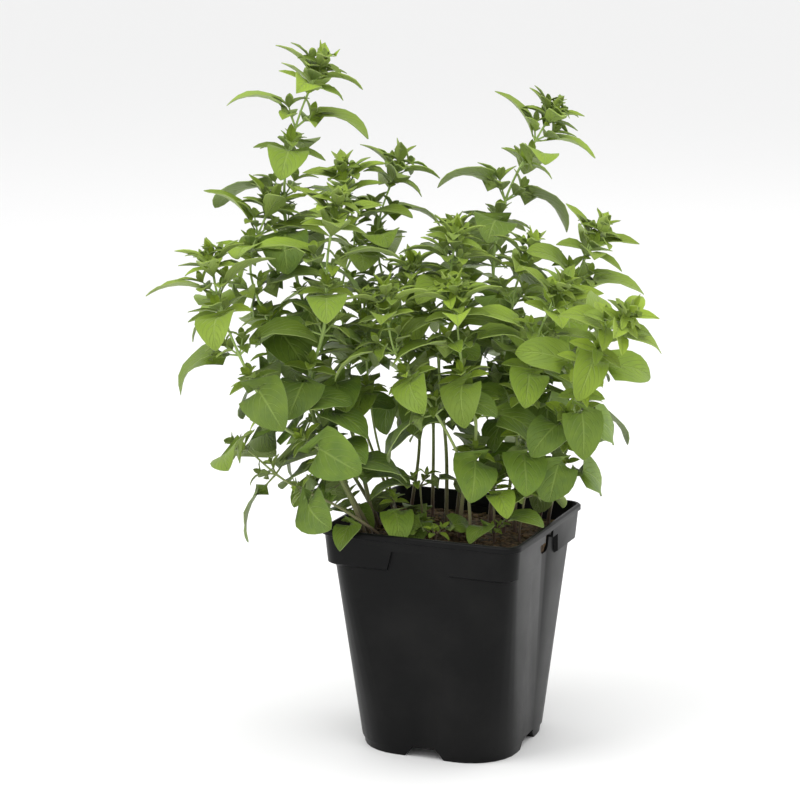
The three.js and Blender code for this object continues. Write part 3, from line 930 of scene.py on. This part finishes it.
# --------------------------------------------------------------------------- mix
@dataclass
class PottingMix:
    """The potting mix: its solid's own shape with a crumbly top, and loose crumbs and bark on it."""

    finishes: Finishes
    crumbs: int = 420
    half: float = 48.5 * MM
    edge_height: float = 110.8 * MM
    crown: float = 2.6 * MM
    lump: float = 5.5 * MM
    relief: float = 3.2 * MM

    def build(self, frame: dict) -> None:
        """Build the mix and its crumbs."""
        mix = copy_of(frame["nodes"]["soil"], "potting_mix")
        mix.parent = None
        mix.hide_render = False
        mix.hide_viewport = False
        select_vertices(mix, np.ones(len(mix.data.vertices), dtype=bool))
        bpy.ops.mesh.remove_doubles(threshold=1e-6)
        bpy.ops.mesh.tris_convert_to_quads()
        bpy.ops.object.mode_set(mode="OBJECT")
        top = points_of(mix)[:, 2] > self.edge_height - 2.5 * MM
        select_vertices(mix, top)
        bpy.ops.mesh.subdivide(number_cuts=4, smoothness=0.0)
        bpy.ops.object.mode_set(mode="OBJECT")
        inner = points_of(mix)
        inside = (inner[:, 2] > self.edge_height - 1.8 * MM) & (np.abs(inner[:, :2]).max(axis=1) < self.half)
        group = mix.vertex_groups.new(name="surface")
        group.add([int(i) for i in np.flatnonzero(inside)], 1.0, "REPLACE")
        lumps = bpy.data.textures.new("mix_lumps", "CLOUDS")
        lumps.noise_scale = self.lump
        lumps.noise_depth = 3
        apply_modifier(mix, "DISPLACE", texture=lumps, strength=self.relief, mid_level=0.55,
                       vertex_group="surface", direction="Z", texture_coords="LOCAL")
        bpy.ops.object.shade_smooth()
        mix.data.materials.clear()
        mix.data.materials.append(self.finishes.mix)
        self.finish(mix)
        self.finish(self.build_crumbs())

    def finish(self, piece: bpy.types.Object) -> None:
        """Let a piece stand for the part's soil."""
        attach(piece, "root")
        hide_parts("soil")
        LOG.info("%s: %d faces", piece.name, len(piece.data.polygons))

    def build_crumbs(self) -> bpy.types.Object:
        """Scatter crumbs of peat and slivers of bark over the mix."""
        dice = random.Random(5)
        deselect_all()
        bpy.ops.mesh.primitive_ico_sphere_add(subdivisions=2, radius=1.0, location=(0, 0, 0))
        master = name_active("crumb_master")
        bpy.ops.object.mode_set(mode="EDIT")
        bpy.ops.mesh.select_all(action="SELECT")
        bpy.ops.transform.vertex_random(offset=0.28, seed=3)
        bpy.ops.object.mode_set(mode="OBJECT")
        bpy.ops.object.shade_smooth()
        master.data.materials.append(self.finishes.crumb)
        shape = points_of(master)
        made = []
        for _ in range(self.crumbs):
            x, y = dice.uniform(-1, 1), dice.uniform(-1, 1)
            size = dice.uniform(0.5, 1.7) * MM
            long = dice.choice((1.0, 1.2, 1.4, 3.0))
            angle = dice.uniform(0, math.pi)
            cosine, sine = math.cos(angle), math.sin(angle)
            turn = np.array([[cosine, -sine, 0], [sine, cosine, 0], [0, 0, 1]])
            share = max(abs(x), abs(y))
            z = self.edge_height + self.crown * (1 - share ** 2) + 0.3 * size
            crumb = copy_of(master, "crumb")
            spread = np.array([long, 1.0, 0.75]) * size
            centre = np.array([x * self.half * 0.985, y * self.half * 0.985, z])
            set_points(crumb, (shape * spread) @ turn.T + centre)
            made.append(crumb)
        bpy.data.objects.remove(master)
        return join(made, "mix_crumbs")


# --------------------------------------------------------------------------- pot
@dataclass
class NurseryPot:
    """The square pot with its stepped collar, lip, label slot and corner feet."""

    finishes: Finishes
    edge: float = 0.32 * MM

    def build(self, frame: dict) -> None:
        """Finish a welded copy of the part's pot with soft edges."""
        pot = copy_of(frame["nodes"]["pot"], "nursery_pot")
        pot.parent = None
        select_vertices(pot, np.ones(len(pot.data.vertices), dtype=bool))
        bpy.ops.mesh.remove_doubles(threshold=1e-6)
        bpy.ops.mesh.dissolve_limited(angle_limit=math.radians(0.5))
        bpy.ops.object.mode_set(mode="OBJECT")
        apply_modifier(pot, "BEVEL", width=self.edge, segments=2, limit_method="ANGLE",
                       angle_limit=math.radians(30), harden_normals=False)
        bpy.ops.object.shade_smooth_by_angle(angle=math.radians(32))
        pot.data.materials.clear()
        pot.data.materials.append(self.finishes.pot)
        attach(pot, "root")
        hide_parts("pot")
        LOG.info("%s: %d faces", pot.name, len(pot.data.polygons))


# ------------------------------------------------------------------------- plant
@dataclass
class Plant:
    """All the shoots: each stem's radius and the points of its line, in millimetres."""

    finishes: Finishes
    soil_edge: float = 110.8
    stems: tuple[tuple, ...] = (
        (1.5, (-34, -27), (-54, -24, 185), (-76, -23, 233), (-88, -21, 291), (-81, -20, 328),
         (-68, -17, 360)),
        (1.5, (11, 26), (10, 46, 196), (-3, 66, 247), (0, 79, 284), (20, 95, 329)),
        (1.3, (17, 45), (28, 44, 164), (45, 33, 219), (61, 27, 257), (70, 29, 275)),
        (1.2, (42, 32), (51, 19, 142), (70, -12, 189), (94, -43, 230), (110, -51, 246)),
        (1.3, (-32, -43), (-50, -57, 163), (-69, -72, 181), (-86, -84, 220), (-93, -90, 247),
         (-96, -91, 266)),
        (1.6, (-33, -35), (-49, -42, 151), (-61, -51, 192), (-51, -53, 229), (-48, -55, 266),
         (-43, -54, 293)),
        (1.2, (-34, 23), (-32, 30, 159), (-50, 40, 216), (-64, 47, 262), (-56, 61, 304)),
        (1.6, (8, -12), (10, -13, 137), (19, -18, 174), (14, -27, 211), (12, -32, 249)),
        (1.3, (26, 6), (32, 2, 149), (42, -6, 191), (49, -12, 221), (64, -17, 251)),
        (1.3, (-6, 4), (-6, 4, 153), (-9, 0, 211), (-1, -2, 258), (2, -3, 274)),
        (1.1, (19, -25), (16, -28, 154), (0, -39, 192), (-15, -47, 218), (-19, -49, 249)),
        (1.2, (-43, -2), (-66, -10, 159), (-87, -27, 210), (-98, -42, 255), (-89, -34, 289)),
        (1.1, (-45, 24), (-71, 29, 179), (-80, 36, 236), (-75, 41, 257), (-80, 38, 300)),
        (1.2, (30, 12), (28, 20, 171), (24, 23, 236), (33, 27, 265)),
        (0.9, (-33, 2), (-42, -8, 165), (-44, -14, 200), (-44, -18, 238)),
        (0.9, (-22, -42), (-41, -57, 135), (-68, -66, 149), (-88, -68, 164)),
        (1.1, (-21, 22), (-18, 14, 180), (-20, 5, 220), (-24, -1, 256)),
        (1.1, (-12, 36), (-10, 46, 170), (-16, 52, 220), (-22, 56, 268)),
        (1.1, (34, 42), (46, 54, 160), (48, 66, 205), (44, 72, 240)),
        (0.9, (-40, -38), (-39, -40, 126)),
        (1.0, (-24, -24), (-24, -26, 131)),
        (0.9, (-12, -14), (-13, -16, 140)),
        (0.9, (2, -33), (4, -35, 121)),
        (0.9, (28, -14), (29, -18, 141)),
        (0.9, (38, -4), (41, -4, 136)),
        (0.9, (-44, -14), (-58, -30, 146)),
    )

    def build(self, frame: dict) -> None:
        """Build every shoot."""
        press = LeafPress(self.finishes)
        press.model()
        for number, (radius, foot, *rest) in enumerate(self.stems, start=1):
            path = ((*foot, self.soil_edge), *rest)
            shoot = Shoot(number, radius, path, press, self.finishes)
            shoot.read(frame)
            shoot.build()
        press.put_away()


# ------------------------------------------------------------------------- stage
@dataclass
class Studio:
    """A pale floor, broad soft light and the camera."""

    azimuth: float = math.radians(22.34)
    elevation: float = math.radians(11.45)
    distance: float = 1.289
    aim: tuple[float, float, float] = (0.0, 0.0, 0.1223)
    offset: tuple[float, float] = (-0.02872, 0.06072)
    lens: float = 109.08

    def build(self) -> None:
        """Build the stage."""
        self.build_floor()
        self.build_lights()
        self.build_camera()

    def build_floor(self) -> None:
        """Lay the floor."""
        deselect_all()
        bpy.ops.mesh.primitive_plane_add(size=60, location=(0, 0, 0))
        floor = name_active("studio_floor")
        nodes = Nodes("studio_floor")
        nodes.shader.inputs["Base Color"].default_value = (0.88, 0.88, 0.88, 1.0)
        nodes.shader.inputs["Roughness"].default_value = 0.8
        floor.data.materials.append(nodes.material)

    def build_lights(self) -> None:
        """Hang the lights and light the room."""
        world = bpy.data.worlds.new("studio")
        world.use_nodes = True
        world.node_tree.nodes["Background"].inputs["Color"].default_value = (1.0, 1.0, 1.0, 1.0)
        world.node_tree.nodes["Background"].inputs["Strength"].default_value = 1.0
        bpy.context.scene.world = world
        bpy.context.scene.view_settings.view_transform = "Standard"
        for name, place, size, power in (
                ("key_light", (-0.9, -0.9, 1.7), 1.2, 16.0),
                ("top_light", (0.5, -0.2, 2.2), 1.6, 12.0),
                ("side_light", (1.4, 1.6, 0.9), 1.6, 10.0)):
            deselect_all()
            bpy.ops.object.light_add(type="AREA", location=place)
            light = bpy.context.object
            light.name = name
            light.data.size = size
            light.data.energy = power
            towards = Vector((0, 0, 0.18)) - Vector(place)
            light.rotation_euler = towards.to_track_quat("-Z", "Y").to_euler()

    def build_camera(self) -> None:
        """Place the camera."""
        back = Vector((math.sin(self.azimuth) * math.cos(self.elevation),
                       -math.cos(self.azimuth) * math.cos(self.elevation), math.sin(self.elevation)))
        right = Vector((math.cos(self.azimuth), math.sin(self.azimuth), 0.0))
        up = back.cross(right)
        eye = Vector(self.aim) + right * self.offset[0] + up * self.offset[1] + back * self.distance
        deselect_all()
        bpy.ops.object.camera_add(location=eye)
        camera = bpy.context.object
        camera.rotation_euler = back.to_track_quat("Z", "Y").to_euler()
        camera.data.lens = self.lens
        camera.data.sensor_width = 36.0
        camera.data.clip_start = 0.05
        bpy.context.scene.camera = camera


def main() -> None:
    """Build the pot, its mix, the plant and the stage in order, and keep the model's size."""
    logging.basicConfig(level=logging.INFO, format="%(message)s")
    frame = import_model()
    finishes = Finishes()
    NurseryPot(finishes).build(frame)
    PottingMix(finishes).build(frame)
    Plant(finishes).build(frame)
    Studio().build()


if __name__ == "__main__":
    main()
